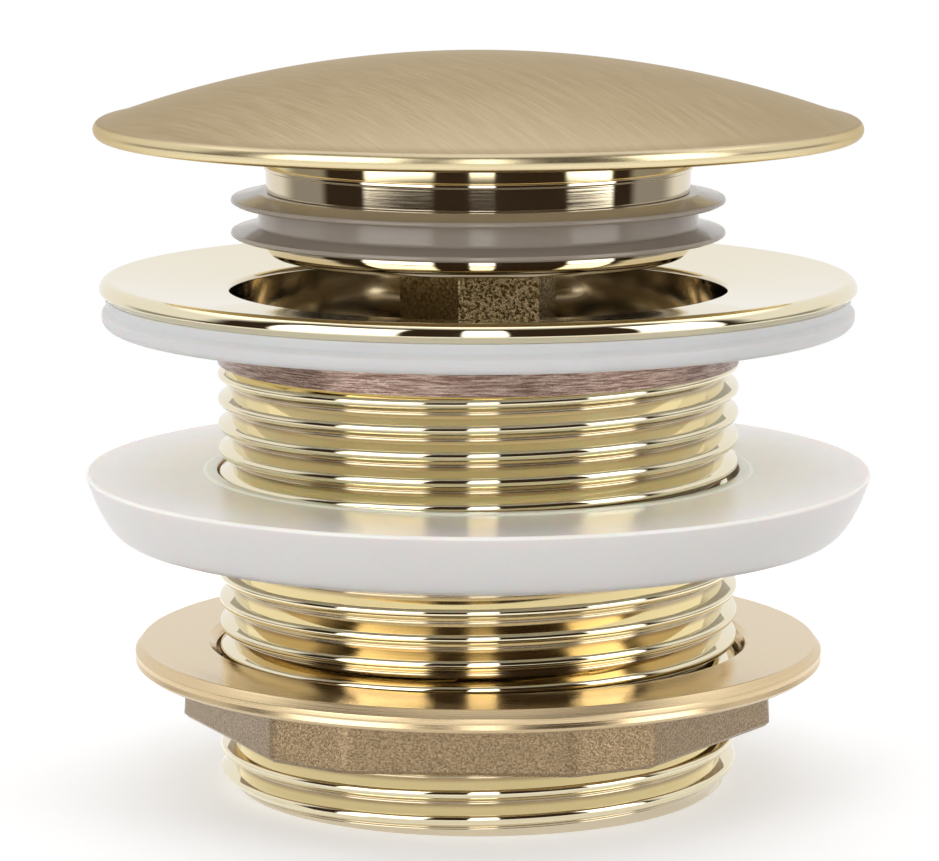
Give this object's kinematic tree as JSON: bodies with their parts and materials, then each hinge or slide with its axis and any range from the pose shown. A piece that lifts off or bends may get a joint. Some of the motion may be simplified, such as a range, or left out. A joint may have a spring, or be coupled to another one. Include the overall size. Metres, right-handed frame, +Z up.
{
  "type": "sprung plug bath waste",
  "caption": "Unslotted bath waste with a domed press-down plug on a spring cartridge, dished flange, threaded tail, flat and tapered seals and a flanged backnut",
  "frame": {"origin": "centre of the tail's end face, where the waste stands on a flat surface and the trap's washer seats; the centre of the bounding box's bottom", "axes": "+Z up along the common axis of tail, flange and plug, from the tail's end towards the plug; +X and +Y across it, with -Y towards the picture's camera"},
  "size_m": [0.072, 0.072, 0.0674],
  "materials": {
    "satin_brass": "brushed satin, fine straight grain",
    "polished_brass": "polished plated brass",
    "plated_brass": "as-plated brass, slightly rough",
    "raw_brass": "sand-cast with a turned flange",
    "white_seal": "matte white",
    "grey_seal": "translucent grey-brown",
    "clear_seal": "milky translucent, glossy",
    "white_plastic": "moulded",
    "spring_steel": "bright drawn steel"
  },
  "bodies": {
    "waste": {"waste_body": "polished_brass", "top_seal": "white_seal", "cartridge_body": "plated_brass", "guide_sleeve": "white_plastic", "guide_pins": "spring_steel", "cartridge_base": "plated_brass", "retaining_clip": "spring_steel", "return_spring": "spring_steel", "hub_washer": "spring_steel", "hub_lock_nut": "plated_brass"},
    "plunger": {"plunger_rod": "plated_brass", "thrust_washer": "spring_steel", "spring_cup": "plated_brass", "rod_clip": "spring_steel"},
    "rotor": {"index_rotor": "white_plastic"},
    "plug": {"plug_cap": "satin_brass", "plug_drum": "polished_brass", "plug_seal": "grey_seal", "stud_insert": "plated_brass"},
    "seal": {"lower_seal": "clear_seal"},
    "nut": {"backnut": "raw_brass"}
  },
  "joints": [
    {"name": "plug_press", "type": "slide", "parent": "waste", "child": "plunger", "axis": [0, 0, 1], "range_m": [-0.011, 0], "stiffness_N_per_m": 600, "springref_m": 0.02, "deforming": ["return_spring"]},
    {"name": "rotor_index", "type": "hinge", "parent": "plunger", "child": "rotor", "pos_m": [0, 0, 0.034], "axis": [0, 0, 1], "range_deg": [-70, 0]},
    {"name": "plug_turn", "type": "hinge", "parent": "plunger", "child": "plug", "pos_m": [0, 0, 0.0626], "axis": [0, 0, 1], "continuous": true},
    {"name": "nut_travel", "type": "slide", "parent": "waste", "child": "nut", "axis": [0, 0, 1], "range_m": [-0.006, 0.0208]},
    {"name": "seal_travel", "type": "slide", "parent": "waste", "child": "seal", "axis": [0, 0, 1], "range_m": [-0.0033, 0.0111]}
  ],
  "couplings": [
    {"joint": "rotor_index", "follows": "plug_press", "rad_per_m": 111.06},
    {"joint": "seal_travel", "follows": "nut_travel", "ratio": 0.5288}
  ]
}
